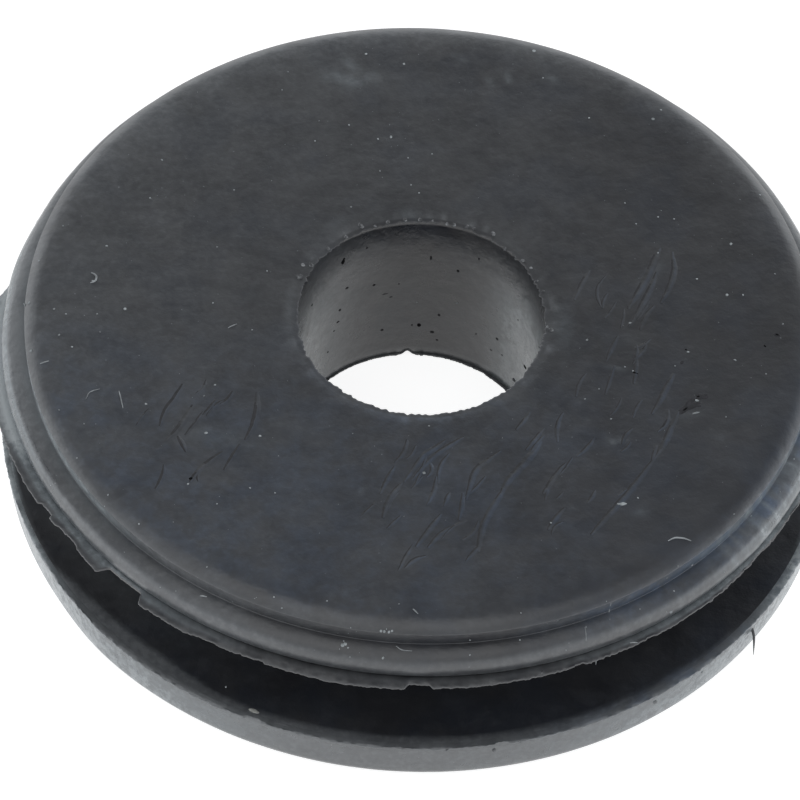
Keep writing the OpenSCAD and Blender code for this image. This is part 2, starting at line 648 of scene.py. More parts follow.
def round_table(keys, turn):
    """A value read between its keys, at angles in radians from the front."""
    table = np.array(keys)
    return np.interp(np.degrees(turn), table[:, 0], table[:, 1])


# ---------------------------------------------------------------- film and painted light, chalk and painted side light, polish, and painted blue reflection

class Skin:
    """Points of the moulding in mm: where round it each is, and on which part of it."""

    def __init__(self, co):
        self.x, self.y, self.z = x, y, z = (co / MM).T
        self.r = r = np.hypot(x, y)
        self.turn = np.arctan2(x, -y)
        self.degrees = np.degrees(self.turn)
        self.right, self.rear, self.side = x / r, y / r, np.abs(x) / r
        self.bore = r < BORE_OUT
        self.face = (z > FACE_LOW) & ~self.bore
        self.rim = (z <= FACE_LOW) & (z > 3.5) & (r > RIM_IN)
        self.wall = (z <= WALL_HIGH) & (z > WALL_LOW) & (r > RIM_IN)
        self.bead = (z < BEAD_HIGH) & (z > BEAD_LOW) & (r > EDGE_IN)
        self.ledge = (z > LEDGE_LOW) & (z < LEDGE_HIGH)
        self.edge = (z <= LEDGE_LOW) & (r > EDGE_IN)
        self.crease = 1 - soft(z, 3.72, 3.88)


# Chalky smears on the face: view spot, half sizes in mm, turn in degrees, strength.
SMEARS = ((345, 79, 0.55, 0.22, -12, 0.9), (352, 66, 0.32, 0.16, -50, 0.7),
          (331, 77, 0.30, 0.20, 10, 0.6), (371, 78, 0.30, 0.22, 20, 0.6),
          (356, 82, 0.60, 0.4, 0, 0.25), (458, 58, 0.22, 0.16, -30, 0.35),
          (508, 78, 0.09, 0.20, 10, 0.7), (490, 83, 0.10, 0.20, 40, 0.45),
          (552, 79, 0.25, 0.12, -30, 0.4), (612, 441, 0.10, 0.10, 0, 0.9),
          (622, 439, 0.09, 0.10, 0, 0.9), (586, 420, 0.12, 0.08, 0, 0.3),
          (617, 368, 0.30, 0.07, 0, 0.35), (361, 491, 0.16, 0.07, 50, 0.4),
          (640, 513, 0.2, 0.1, 20, 0.35), (563, 328, 0.22, 0.65, 5, 0.40),
          (651, 275, 0.14, 0.5, -30, 0.45), (290, 303, 0.12, 0.5, 0, 0.35),
          (335, 225, 0.45, 0.2, 40, 0.25), (409, 214, 0.25, 0.2, 0, 0.35),
          (218, 437, 1.1, 0.30, -8, 0.34), (632, 338, 0.2, 0.25, 0, 0.2),
          (690, 415, 0.35, 0.14, 20, 0.3), (720, 439, 0.14, 0.07, -40, 0.4))

# How much pale film and painted light lie on the waist of the rim, and how much painted light lies
# in the crease under its bead, at angles from the front.
WAIST_FILM_AND_LIGHT = ((-180, 0.35), (-120, 0.6), (-95, 1.1), (-80, 1.0), (-60, 0.50), (-45, 0.30),
              (-30, 0.45), (-15, 0.12), (0, 0.04), (15, 0.0), (30, 0.34), (45, 0.18), (55, 0.6),
              (62, 0.9), (80, 0.9), (110, 0.6), (180, 0.35))
CREASE_PAINTED_LIGHT = ((-180, 0.3), (-95, 1.2), (-80, 1.1), (-60, 1.2), (-45, 0.7), (-30, 1.1),
               (-15, 0.45), (0, 0.45), (15, 0.45), (30, 0.95), (45, 0.9), (62, 1.3), (90, 1.2),
               (180, 0.3))


def film_and_light_on(co):
    """How much pale film and painted light lie on each point of the moulding: 1 is a full film.
    The sides, left and back, the low bore, the crease, the outer ledge and the lower edge are
    painted lighter; the top of the bore gets painted shade.
    """
    s = Skin(co)
    z, r, side, right, turn = s.z, s.r, s.side, s.right, s.turn
    left = soft(-right, -0.3, 1.0)
    back = soft(s.rear, 0.1, 0.9)
    film_and_light = np.zeros_like(r)

    # Bore: painted light, lighter at its sides and low down and brightest near the bottom, with
    # painted shade under the mouth.
    low = 1 - soft(z, 2.8, 4.7)
    film_and_light[s.bore] = (0.04 + 0.45 * soft(side, 0.12, 0.65) + 0.75 * soft(right, 0.35, 0.95) * low
                    + 0.60 * soft(-right, 0.35, 1.0) * low
                    + 0.8 * (1 - soft(z, 0.12, 0.36)))[s.bore]
    film_and_light[s.bore] *= (1 - (0.95 - 0.45 * side) * soft(z, 4.1, 4.75))[s.bore]

    # Face: a pale film, with painted light on its left and near the back of the rim, painted shade
    # on its right, and a ragged paler ring at the mouth.
    mouth = 0.45 + 1.0 * np.maximum(waves(91, turn, 60, 3, 0.3), 0)
    dip = swell(s.degrees, -52, 20) * soft(r, 5, 8)
    film_and_light[s.face] = (0.12 + 0.27 * left * (r / 9) ** 2 - 0.12 * soft(s.x, 1.0, 6.0) - 0.10 * dip
                    + 0.36 * mouth * (1 - soft(r, 3.08, 3.45))
                    + 0.30 * back * soft(r, 8.3, 9.1))[s.face]

    # Rim: a patchy pale film, with painted light at its sides, left and back, in the waist, on the
    # bead and in the crease under it.
    shoulder = soft(z, 4.72, 4.78)
    bead = 1 - soft(z, 4.16, 4.30)
    waist = (1 - shoulder) * (1 - bead)
    wall = (1 - shoulder) * soft(z, 4.37, 4.42)
    streaks = np.maximum(waves(97, turn, 260, 30, 0.3), 0) * side
    patchy = 1 + 0.45 * waves(83, turn, 90, 5, 0.5)
    over = ((0.14 + 0.08 * side) * (1 - 0.9 * soft(right, 0.10, 0.40))
            + 0.22 * left ** 3 * (1 - soft(s.rear, 0.05, 0.40)) + 0.35 * back)
    film_and_light[s.rim] = (shoulder * patchy * over
                   + waist * (round_table(WAIST_FILM_AND_LIGHT, turn) + 0.1 * streaks)
                   + wall * (0.12 + 0.35 * soft(side, 0.1, 0.8) + 0.50 * soft(-right, 0.75, 1.0))
                   + bead * (0.38 + 0.35 * left + 0.40 * side + 0.35 * streaks)
                   + s.crease * round_table(CREASE_PAINTED_LIGHT, turn))[s.rim]

    # Ledge and lower edge: painted light, rising towards the outer ledge, and lighter on the lower
    # edge, most at its sides.
    ledge = s.ledge & (r > NECK_OUT)
    start = (9.65 + 0.13 * side + 0.16 * soft(side, 0.70, 0.90)
             - 0.22 * soft(-right, 0.40, 0.60) * (1 - soft(-right, 0.80, 0.88)))
    film_and_light[ledge] = (0.03 + 0.32 * soft(-right, 0.4, 0.8) * (1 - soft(r, 9.30, 9.55))
                   + (0.85 + 0.10 * side) * soft(r, start, start + 0.20))[ledge]
    film_and_light[s.edge] = (0.80 + 0.20 * side)[s.edge]
    return np.clip(film_and_light, 0, 1.4)


def chalk_and_side_light_on(co):
    """Chalk with painted side light: the lower edge, outer ledge, bead, crease, wall and the
    bore's lower flanks are painted lighter at their sides, the lower edge also near the table, and
    the bead and wall get chalky scrapes at the right.
    """
    s = Skin(co)
    z, r, side, right = s.z, s.r, s.side, s.right
    chalk_and_side_light = np.zeros_like(r)
    scraped = (np.maximum(waves(101, s.turn + 0.02 * z, 200, 40, 0.2), 0)
               * swell(s.degrees, 62, 10))
    outer = s.ledge & (r > EDGE_IN)
    # Less painted side light on the upper part of the lower edge near its sides.
    less_side_light = 1 - 0.6 * soft(z, 0.70, 1.05) * soft(side, 0.80, 0.90) * (1 - soft(side, 0.94, 0.985))
    chalk_and_side_light[s.edge] = ((0.25 + 0.4 * soft(-right, 0.15, 0.6) + 0.15 * soft(right, 0.3, 0.6)
                      + 2.0 * side ** 2) * less_side_light
                     + 1.8 * (1 - soft(z, 0.1, 1.0)) * side ** 2)[s.edge]
    chalk_and_side_light[outer] = (2.2 * soft(side, 0.92, 0.985) * soft(r, 9.80, 9.92))[outer]
    chalk_and_side_light[s.bead] = (1.6 * soft(-right, 0.80, 1.0) + 1.3 * soft(right, 0.66, 0.95)
                     + 2.0 * s.crease * soft(side, 0.30, 0.70) + 1.7 * scraped)[s.bead]
    chalk_and_side_light[s.wall] = (soft(z, 4.32, 4.52) * (1 - soft(z, 4.72, 4.765))
                     * (2.4 * soft(-right, 0.60, 0.88) * (1 - 0.4 * soft(s.rear, 0.1, 0.3))
                        + 0.9 * soft(right, 0.55, 0.85)) + 1.7 * scraped)[s.wall]
    chalk_and_side_light[s.bore] = ((1 - soft(z, 2.4, 4.4)) * (3.4 * soft(right, 0.45, 0.90)
                                                + 1.9 * soft(-right, 0.5, 0.95)))[s.bore]
    return chalk_and_side_light


def polish_on(co):
    """Where the skin is smoother: the lower edge, and the bead towards its sides."""
    s = Skin(co)
    return np.maximum(0.9 * s.edge, s.bead * 0.8 * soft(s.side, 0.6, 0.95))


def blue_reflection_on(co):
    """Where a painted bluish reflection lies: the front of the face, and the rims at the front
    right.
    """
    s = Skin(co)
    right = soft(s.degrees, 12, 45) * (1 - soft(s.degrees, 78, 100))
    outer = soft(s.r, 8.9, 9.3) * right * np.maximum(soft(s.z, 4.15, 4.4), 0.35 * s.ledge)
    front = 0.55 * soft(-s.y, -0.5, 4.5) * (1 - soft(s.r, 9.0, 9.5)) * soft(s.z, 4.8, 4.9)
    return np.maximum(outer, front)


# ---------------------------------------------------------------- flash

# Reach of the upper flash in mm at angles from the front, in degrees towards +X.
UPPER_REACH = ((-180, 0.05), (-130, 0.04), (-98, 0.03), (-95, 0.26), (-90, 0.34), (-75, 0.34),
               (-62, 0.31), (-50, 0.24), (-46, 0.30), (-36, 0.30), (-30, 0.30), (-27, 0.23),
               (-15, 0.25), (-6, 0.30), (-1, 0.27), (5, 0.24), (20, 0.20), (35, 0.16),
               (45, 0.12), (52, 0.07), (58, 0.05), (75, 0.05), (120, 0.05), (180, 0.05))

# Tears in the upper flash: angle, half width in degrees, what is left of the reach.
UPPER_TEARS = ((-41.2, 3.9, 0.04), (2.3, 1.9, 0.52), (-57.3, 1.5, 0.68), (-52.0, 2.6, 0.80),
               (24.0, 0.8, 0.80), (-19.0, 0.7, 0.9), (55.0, 1.6, 0.5))

LOWER_REACH = ((-180, 0.12), (-115, 0.12), (-90, 0.03), (-62, 0.03), (-45, 0.10), (0, 0.09),
               (60, 0.12), (180, 0.12))
LOWER_TEARS = ((-20, 1.2, 0.4), (14, 1.0, 0.5))

# The flash at the bottom of the bore, widest at the back right, with one chip left at the back.
BORE_REACH = ((-180, 0.035), (-120, 0.035), (-60, 0.03), (60, 0.035), (105, 0.055),
              (140, 0.07), (165, 0.045), (180, 0.04))
BORE_TEARS = ((-173.5, 4.5, 0.1), (179.0, 0.9, 1.6), (148, 3, 0.7))

# Fibres that hang from an edge: view spot of the root, then run in mm and half width.
HANGING = ((596, 657, 0.01, -0.03, -0.26, 0.026), (753, 628, 0.05, -0.42, -0.50, 0.040),
           (797, 552, 0.02, -0.02, -0.18, 0.016))


def notch_at(turn):
    """How far the bottom of the bore is broken up at an angle, in mm: one small notch."""
    return 0.14 * swell(np.degrees(turn), -174.2, 2.0)


def reach_round(angles, keys, tears, seed, grit):
    """Reach of a flash at each angle, in mm, with its tears and its fine ragged edge."""
    reach = round_table(keys, angles)
    for at, half, left in tears:
        away = np.abs((np.degrees(angles) - at + 180) % 360 - 180) / half
        reach = reach * (1 - (1 - soft(away, 0.72, 1.0)) * (1 - left))
    fine = (waves(seed, angles, 420, 40, 0.35) * 0.6
            + waves(seed + 1, angles, 900, 300, 0.2) * 0.4)
    return np.maximum(reach + grit * fine, 0.015)


def flash_piece(name, rim, z, thick, columns, seed, reach, film_and_light, chalk_and_side_light=lambda a: 0, way=1,
                torn=1.0, cover=None, lift=lambda a: 0):
    """A thin ragged ring: its root is sunk in the rim and its edge is torn.

    The film and painted light, the chalk and painted side light, the cover of the upper side,
    which is painted light, and the lift are functions of the angle. Torn scales a painted
    highlight on the torn edge and a painted shade at the root.
    """
    angles = np.linspace(-math.pi, math.pi, columns, endpoint=False)
    reach = reach_round(angles, *reach)
    droop = 0.018 * waves(seed, angles, 60, 4, 0.6)
    curl = 0.012 * waves(seed + 5, angles, 240, 30, 0.4)
    if way < 0:
        droop, curl = 0.3 * droop, 0.3 * curl
    rows = [(-0.20, thick * 0.5), (-0.08, thick), (reach * 0.35, thick * 0.97 + 0.3 * droop),
            (reach - 0.085 * np.clip(reach / 0.3, 0.1, 1), thick * 0.86 + 0.7 * droop)]
    rows += [(reach * share - inset, thick * height + droop + curl) for share, inset, height in
             ((0.95, 0.010, 0.80), (1, 0.006, 0.72), (1, 0, 0.56), (1, 0.006, 0.34),
              (0.93, 0.010, 0.18))]
    rows += [(reach * 0.5, thick * 0.10 + 0.5 * droop), (-0.06, 0.0), (-0.20, thick * 0.2)]
    count = len(rows)
    co = np.empty((columns, count, 3))
    for j, (out, height) in enumerate(rows):
        co[:, j, 0] = (rim + way * out) * np.sin(angles)
        co[:, j, 1] = -(rim + way * out) * np.cos(angles)
        co[:, j, 2] = z + height + lift(angles)
    co *= MM
    lim = np.array([HIGH.x, HIGH.y]) - 2e-6
    co[..., :2] = np.clip(co[..., :2], -lim, lim)
    i, j = np.arange(columns)[:, None], np.arange(count)[None, :]
    i2, j2 = (i + 1) % columns, (j + 1) % count
    quads = np.stack([i * count + j, i2 * count + j, i2 * count + j2, i * count + j2], -1)
    piece = plain_object(name, co.reshape(-1, 3), faces=quads.reshape(-1, 4).tolist())
    face_outwards(piece.data)
    piece.data.polygons.foreach_set("use_smooth", [True] * len(piece.data.polygons))

    def each(values):
        """Values at each angle, as a column beside the rows."""
        return np.reshape(values, (-1, 1))

    blank = np.zeros((columns, count))
    side = each(np.abs(np.sin(angles)))
    lip_glint, root, on, sidelit = (blank + v for v in (0, 0, each(film_and_light(angles)), each(chalk_and_side_light(angles))))
    # Painted highlight on the rows of the torn lip, and painted shade at the root, most at the
    # front.
    lip_glint[:, 3:10] = (0.6, 1, 1, 1, 1, 1, 0.3)
    root[:, :2] = 1 - soft(side, 0.2, 0.8)
    # Painted light in the crease under the bead and at the sides of the upper flash's root.
    if way > 0:
        on[:, :3] += np.array((0.9, 0.9, 0.3)) * each(round_table(CREASE_PAINTED_LIGHT, angles))
        sidelit[:, :3] += 1.4 * soft(side, 0.30, 0.70)
    on *= 1 + 0.35 * each(waves(seed + 9, angles, 300, 20, 0.4))
    # The cover and the chalk under it: painted light on the top of the lower flash, most at its
    # sides.
    if cover:
        on[:, :5] = each(cover(angles))
        sidelit[:, :5] = 2.2 * soft(side, 0.74, 0.95)
    # Stored: the painted lip highlight, the painted root shade, the film with its painted light,
    # and the painted side light.
    for label, values in (("torn", torn * lip_glint), ("painted_shade", torn * root),
                          ("film_and_light", np.clip(on, 0, 1.4)), ("smear_and_side_light", sidelit)):
        store(piece, label, values.reshape(-1))
    store(piece, "bluish", blue_reflection_on(points_of(piece.data)))
    piece.data.materials.append(bpy.data.materials[RUBBER])
    return ride(piece)


# ---------------------------------------------------------------- wrinkles and other marks

def tapered(count, half, ends=0.25):
    """Half widths along a strand that thins out at both ends."""
    t = np.linspace(0, 1, count)
    return list(half * (ends + (1 - ends) * np.sqrt(np.clip(4 * t * (1 - t), 0, 1))))


def paint_wrinkles(piece):
    """Painted light along a wrinkle: a painted highlight on its crest and near side, painted shade
    along its far foot.
    """
    across = np.empty(len(piece.data.vertices), dtype=np.float32)
    piece.data.attributes["across"].data.foreach_get("value", across)
    co = points_of(piece.data)
    flat = co.copy()
    flat[:, 2] = 4.97 * MM
    right = soft(co[:, 0] / MM, -2.2, -0.2)
    # Painted highlight and painted bluish reflection on the crest, mostly right of the face's
    # middle; painted shade along the far foot.
    crest = swell(across, 0.30, 0.42) * (0.2 + 0.8 * right)
    painted_shade = swell(across, -0.50, 0.34)
    store(piece, "film_and_light", np.clip(film_and_light_on(flat) + 0.24 * crest - 0.18 * painted_shade, 0, 1))
    store(piece, "painted_shade", painted_shade)
    store(piece, "bluish", np.clip(blue_reflection_on(flat) + 0.55 * crest, 0, 1))
    piece.data.materials.append(bpy.data.materials["Wrinkle shade"])
    # Faces along the far foot take Wrinkle shade, a darker rubber: painted shade.
    dark = []
    for face in piece.data.polygons:
        middle = sum(across[i] for i in face.vertices) / len(face.vertices)
        x, y = face.center.x / MM, face.center.y / MM
        broken = math.sin(5.1 * x + 1.3 + y) * math.sin(4.3 * y + 0.7) > -0.40
        inner = -0.40 if x > -1.2 else -0.10
        dark.append(1 if -0.90 < middle < inner and broken and face.normal.z > 0 else 0)
    piece.data.polygons.foreach_set("material_index", dark)


# Wrinkles of the face: half width in mm, then spots of the view along each.
WRINKLES = (
    (0.17, ((478, 552), (482, 530), (489, 513), (497, 500), (505, 488))),
    (0.19, ((500, 496), (508, 481), (520, 468), (533, 453), (541, 441))),
    (0.15, ((466, 500), (470, 486), (476, 470), (487, 461), (501, 451))),
    (0.14, ((404, 482), (414, 468), (424, 455), (437, 447), (446, 440))),
    (0.12, ((412, 480), (424, 466), (438, 453), (452, 444), (464, 437))),
    (0.15, ((383, 518), (387, 504), (394, 492), (402, 483))),
    (0.15, ((416, 547), (425, 535), (434, 523), (441, 514))),
    (0.13, ((428, 548), (438, 536), (450, 527))),
    (0.12, ((459, 520), (462, 506), (463, 493))),
    (0.12, ((466, 561), (474, 552), (482, 544))),
    (0.12, ((405, 568), (414, 560), (426, 556))),
    (0.12, ((545, 500), (549, 486), (558, 472), (566, 463))),
    (0.14, ((548, 530), (555, 519), (565, 508))),
    (0.16, ((591, 535), (606, 518), (622, 500), (640, 478), (655, 458))),
    (0.15, ((655, 458), (664, 444), (671, 428), (679, 411))),
    (0.15, ((652, 414), (661, 399), (668, 385), (674, 374))),
    (0.18, ((628, 309), (638, 293), (648, 275), (655, 259), (660, 248))),
    (0.15, ((630, 326), (640, 309), (650, 290), (657, 272))),
    (0.15, ((661, 303), (669, 288), (674, 270), (672, 252))),
    (0.13, ((606, 362), (612, 348), (618, 336))),
    (0.13, ((640, 330), (646, 316), (654, 306))),
    (0.15, ((160, 426), (165, 411), (174, 399), (183, 384))),
    (0.15, ((165, 441), (176, 431), (186, 417), (193, 405))),
    (0.16, ((245, 440), (253, 425), (257, 408), (257, 392))),
    (0.12, ((216, 406), (227, 400), (233, 391))),
    (0.14, ((190, 482), (199, 470), (211, 460), (223, 452))),
    (0.12, ((224, 470), (233, 456), (240, 444))),
    (0.12, ((178, 436), (182, 443), (186, 452))),
    (0.12, ((380, 494), (388, 478), (395, 466))),
    (0.12, ((516, 430), (524, 421), (530, 412))),
    (0.12, ((574, 300), (582, 284), (590, 270))),
)

# Where faint wrinkles gather: view spot, spread, how many, slope in degrees.
FAINT = ((440, 500, 60, 15, 58), (560, 480, 60, 10, 52), (200, 430, 40, 8, 58),
         (640, 320, 45, 10, 62), (620, 420, 60, 8, 55))


def faint_wrinkles(rng):
    """Short bowed wrinkles, as half widths in mm and spots of the view."""
    drawn = []
    for u, v, spread, count, slope in FAINT:
        for _ in range(count):
            cu, cv = u + spread * rng.normal() * 0.6, v + spread * rng.normal() * 0.6
            way = math.radians(slope + rng.normal() * 14)
            length = rng.uniform(10, 34)
            bow = rng.normal() * 0.10
            spots = []
            for t in (-0.5, -0.17, 0.17, 0.5):
                side = bow * length * (0.25 - t * t) * 4
                spots.append((cu + length * t * math.cos(way) + side * math.sin(way),
                              cv - length * t * math.sin(way) + side * math.cos(way)))
            drawn.append((rng.uniform(0.06, 0.11), spots))
    return drawn


def wrinkle_lines(carrier):
    """Drawn and faint wrinkles as strands lying in the face."""
    strands = []
    for half, spots in (*WRINKLES, *faint_wrinkles(np.random.default_rng(5))):
        if spots[0][1] < spots[-1][1]:
            spots = spots[::-1]
        line = [carrier.seen(u, v, must=False)[0] for u, v in spots]
        if None in line:
            continue
        reach = [math.hypot(p.x, p.y) for p in line]
        low = min(p.z for p in line)
        if min(reach) < 3.6 or max(reach) > 8.8 or low < 4.9:
            continue
        strands.append(([Vector((p.x, p.y, low + 0.003)) for p in line],
                        tapered(len(line), half * 0.76, 0.35)))
    return strands


# Dust grains by size in mm: spots of the view.
DUST = {
    0.050: ((31, 351), (25, 305), (29, 303), (653, 119), (671, 612), (424, 473),
            (206, 433), (727, 295), (534, 51), (391, 137), (125, 309), (300, 277), (731, 244)),
    0.036: ((59, 335), (54, 309), (93, 281), (661, 110), (702, 672), (388, 223), (383, 658),
            (551, 523), (692, 565), (735, 360), (688, 352), (378, 139), (146, 404), (260, 436),
            (188, 484), (361, 226), (420, 220), (215, 385), (587, 340), (658, 253), (630, 323),
            (697, 279), (404, 64), (366, 54), (447, 750), (457, 303), (514, 380)),
    0.025: ((349, 125), (315, 141), (319, 121), (162, 160), (150, 198), (234, 190), (217, 247),
            (63, 226), (97, 314), (24, 304), (213, 303), (252, 330), (267, 271), (351, 207),
            (380, 171), (282, 90), (288, 72), (589, 118), (636, 224), (625, 203), (674, 219),
            (658, 217), (743, 295), (775, 274), (760, 195), (783, 324), (766, 374), (411, 185),
            (419, 193), (408, 158), (432, 154), (84, 424), (59, 410), (77, 458), (77, 479),
            (108, 495), (139, 524), (207, 433), (217, 504), (176, 591), (207, 567), (274, 597),
            (282, 608), (327, 601), (226, 687), (638, 498), (734, 514), (751, 516), (780, 492),
            (794, 459), (586, 627), (470, 640), (521, 613), (640, 609), (674, 591), (724, 572),
            (678, 566), (417, 302), (204, 396), (250, 488), (275, 493), (726, 417), (633, 371),
            (625, 367), (675, 366), (599, 389), (585, 399), (611, 419), (66, 314), (100, 332),
            (72, 347), (106, 246), (39, 261), (378, 139), (543, 78), (107, 246), (429, 426),
            (399, 604), (470, 655), (520, 640), (566, 650), (350, 657)),
}

# Lint: half width in mm, then spots of the view along each fibre.
LINT = (
    (0.026, ((91, 273), (95, 274.5), (96.5, 278), (94.5, 281.5), (90.5, 283))),
    (0.022, ((40, 364), (44, 362.5), (49, 361))),
    (0.018, ((228, 328), (232, 326), (237, 324))),
    (0.014, ((86, 399), (89, 393), (94, 390.5), (100, 389))),
    (0.016, ((119, 391), (120.5, 397), (123, 408))),
    (0.022, ((200, 596), (203, 596), (207, 597))),
    (0.022, ((668, 541), (675, 538), (684, 538.5), (691, 541))),
    (0.020, ((413, 609), (415, 611), (418, 614))),
    (0.014, ((611, 603), (609, 611), (610, 620))),
    (0.018, ((630, 643), (634, 642.5), (638, 643))),
    (0.014, ((396, 646), (402, 650), (412, 651))),
    (0.012, ((585, 627), (586, 634), (586, 641))),
)

# Small pits in the bore's wall: view spot, half sizes in mm. The first are deep, the rest shallow.
# Each is a flat dark grain, painted shade of a pit.
DEEP_PITS = ((343, 262, 0.060, 0.075), (344, 259, 0.035, 0.040), (419, 325, 0.050, 0.070),
             (525, 367, 0.075, 0.050))
PITS = ((439, 315, 0.035, 0.045), (432, 332, 0.055, 0.050), (437, 340, 0.035, 0.028),
        (382, 330, 0.040, 0.040), (497, 339, 0.045, 0.045), (340, 310, 0.042, 0.042),
        (347, 288, 0.050, 0.034), (374, 285, 0.040, 0.034), (458, 271, 0.040, 0.050),
        (431, 258, 0.026, 0.085), (412, 325, 0.024, 0.030), (312, 305, 0.040, 0.034),
        (479, 259, 0.026, 0.045), (367, 248, 0.030, 0.030), (491, 350, 0.036, 0.020),
        (502, 355, 0.024, 0.024), (476, 334, 0.024, 0.024), (518, 320, 0.022, 0.026),
        (399, 284, 0.020, 0.020), (539, 347, 0.03, 0.03), (306, 283, 0.05, 0.03),
        (385, 294, 0.075, 0.014), (391, 297, 0.045, 0.014), (338, 322, 0.05, 0.03),
        (328, 352, 0.03, 0.03), (334, 331, 0.03, 0.024))

# Nicks in the face: view spots of both ends, half width in mm. The first are scuffed and shallow;
# the rest are flat dark grains, painted shade of a nick.
SCUFFS = (((678, 414), (690, 405), 0.085), ((682, 410), (700, 403), 0.080),
          ((686, 405), (694, 399), 0.060), ((692, 404), (701, 406), 0.050),
          ((695, 401), (702, 395), 0.050), ((696, 396), (708, 397), 0.075),
          ((700, 399), (707, 394), 0.050), ((661, 430), (670, 416), 0.035),
          ((774, 334), (780, 336), 0.055), ((681, 364), (683, 361), 0.040))
NICKS = (((683, 411), (688, 407), 0.030), ((697, 397), (700, 396), 0.028),
         ((775, 334), (779, 335.5), 0.035), ((189, 479), (193, 478), 0.045),
         ((633, 372), (638, 374), 0.030), ((685, 349), (687, 350), 0.022),
         ((764, 345), (766, 347), 0.022))

# Flecks of dust and one pale chip, laid along a direction: view spots of both ends, half width.
FLECKS = (((616, 504.5), (627, 503.5), 0.060), ((341, 646.5), (344, 644), 0.050),
          ((343.5, 643), (347, 645), 0.042), ((343, 641), (344.5, 641), 0.024),
          ((347, 648), (349, 647.5), 0.022), ((339, 649), (340, 649), 0.018),
          ((380, 632), (382, 630), 0.040), ((383, 631), (385.5, 632), 0.036),
          ((388, 631.5), (390, 632.5), 0.038), ((391, 632), (393, 630), 0.032),
          ((386, 629), (387, 629), 0.018),
          ((695, 400), (699, 401), 0.035), ((692, 414), (700, 412), 0.030))
CHIP = (((249, 709), (259, 713), 0.055),)

# Crumbs of torn rubber along the mouth of the bore and the flash: view spot, half size.
CRUMBS = ((361, 226, 0.060), (388, 222.5, 0.055), (300, 277, 0.065), (420, 220, 0.050),
          (551, 330, 0.050), (346, 237, 0.045), (328, 249, 0.050), (303, 265, 0.040),
          (311, 265, 0.045), (375, 226, 0.035), (405, 220, 0.040), (433, 221, 0.030),
          (447, 224, 0.035), (454, 225, 0.040), (467, 227, 0.045), (474, 229, 0.045),
          (493, 234, 0.050), (505, 249, 0.040), (523, 261, 0.045), (531, 268, 0.035),
          (537, 281, 0.035), (543, 291, 0.030), (548, 327, 0.035), (514, 380, 0.045),
          (655, 702, 0.040), (494, 750, 0.040), (447, 750, 0.035), (520, 742, 0.030),
          (542, 672, 0.030))


def turned_on(carrier, u, v, half, thin, rng):
    """A flat grain that lies on a spot of the view, turned at random."""
    place, normal = carrier.seen(u, v)
    flat = (half * rng.uniform(0.8, 1.2), half * rng.uniform(0.6, 1.0), min(thin, half * 0.6))
    return place + normal * flat[2] * 0.25, normal, flat, rng.uniform(0, 180)


def speck(rng, spot, least, most):
    """A tiny grain of a random size and turn."""
    half = rng.uniform(least, most)
    return (*spot, (half, half * 0.8, half * 0.5), rng.uniform(0, 180))


def laid_between(carrier, marks, thin):
    """Flat grains that each reach from one spot of the view to another."""
    grains = []
    for (u0, v0), (u1, v1), half in marks:
        (a, normal), (b, _) = carrier.seen(u0, v0), carrier.seen(u1, v1)
        grains.append(((a + b) / 2, normal, ((b - a).length * 0.55, half, thin), b - a))
    return grains


# ---------------------------------------------------------------- materials

def patches_group(name):
    """Clouded, speckled and streaked masks that every rubber surface shares."""
    w, given = new_tree(
        name, "ShaderNodeTree",
        (("Vector", "Vector", None), ("Cloud scale", "Float", 0.9), ("Speck scale", "Float", 6.0)),
        (("Cloud", "Float"), ("Speck", "Float"), ("Streak", "Float")))
    place = given["Vector"]
    long_way = w.get("ShaderNodeMapping", {"Vector": place, "Rotation": (0.0, 0.0, -0.87),
                                           "Scale": (0.7, 3.4, 1.0)})
    w.node("NodeGroupOutput", {
        "Cloud": w.ramp(w.noise(place, given["Cloud scale"], 5.0, 0.62), 0.30, 0.72),
        "Speck": w.ramp(w.noise(place, given["Speck scale"], 3.0, 0.6), 0.40, 0.74),
        "Streak": w.ramp(w.noise(long_way, 1.3, 4.0, 0.6), 0.40, 0.72)})
    return w.tree


def grain_group(name):
    """The fine grain and slow swell of a rubber skin, as a height."""
    w, given = new_tree(name, "ShaderNodeTree",
                        (("Vector", "Vector", None), ("Fine share", "Float", 0.16)),
                        (("Height", "Float"),))
    fine = w.noise(given["Vector"], 15.0, 2.0, 0.6)
    w.node("NodeGroupOutput", {
        "Height": fine * given["Fine share"] + w.noise(given["Vector"], 2.6, 3.0, 0.55)})
    return w.tree


def fluff_group(name):
    """Soft shades and a fine nap, for dust and lint."""
    w, given = new_tree(name, "ShaderNodeTree", (("Vector", "Vector", None),),
                        (("Shade", "Float"), ("Height", "Float")))
    w.node("NodeGroupOutput", {
        "Shade": w.ramp(w.noise(given["Vector"], 3.1, 2.0, 0.6), 0.35, 0.65),
        "Height": w.noise(given["Vector"], 60.0, 2.0, 0.6)})
    return w.tree


def cleared(thing):
    """The wiring of a new material or world, with nothing in it."""
    thing.use_nodes = True
    thing.node_tree.nodes.clear()
    return Wiring(thing.node_tree)


def pattern(w, name, maker):
    """A shared group laid over the piece: its outputs by name."""
    return w.node("ShaderNodeGroup", {"Vector": w.place()}, node_tree=tree_named(name, maker))[0]


def coated(w, colour, roughness, ior, height, strength, depth):
    """Ends a material in one plain shader with a fine relief."""
    normal = w.get("ShaderNodeBump", {"Strength": strength, "Distance": depth, "Height": height})
    skin = w.get("ShaderNodeBsdfPrincipled", {"Base Color": colour, "Roughness": roughness,
                                              "Normal": normal, "IOR": ior})
    w.node("ShaderNodeOutputMaterial", {"Surface": skin})


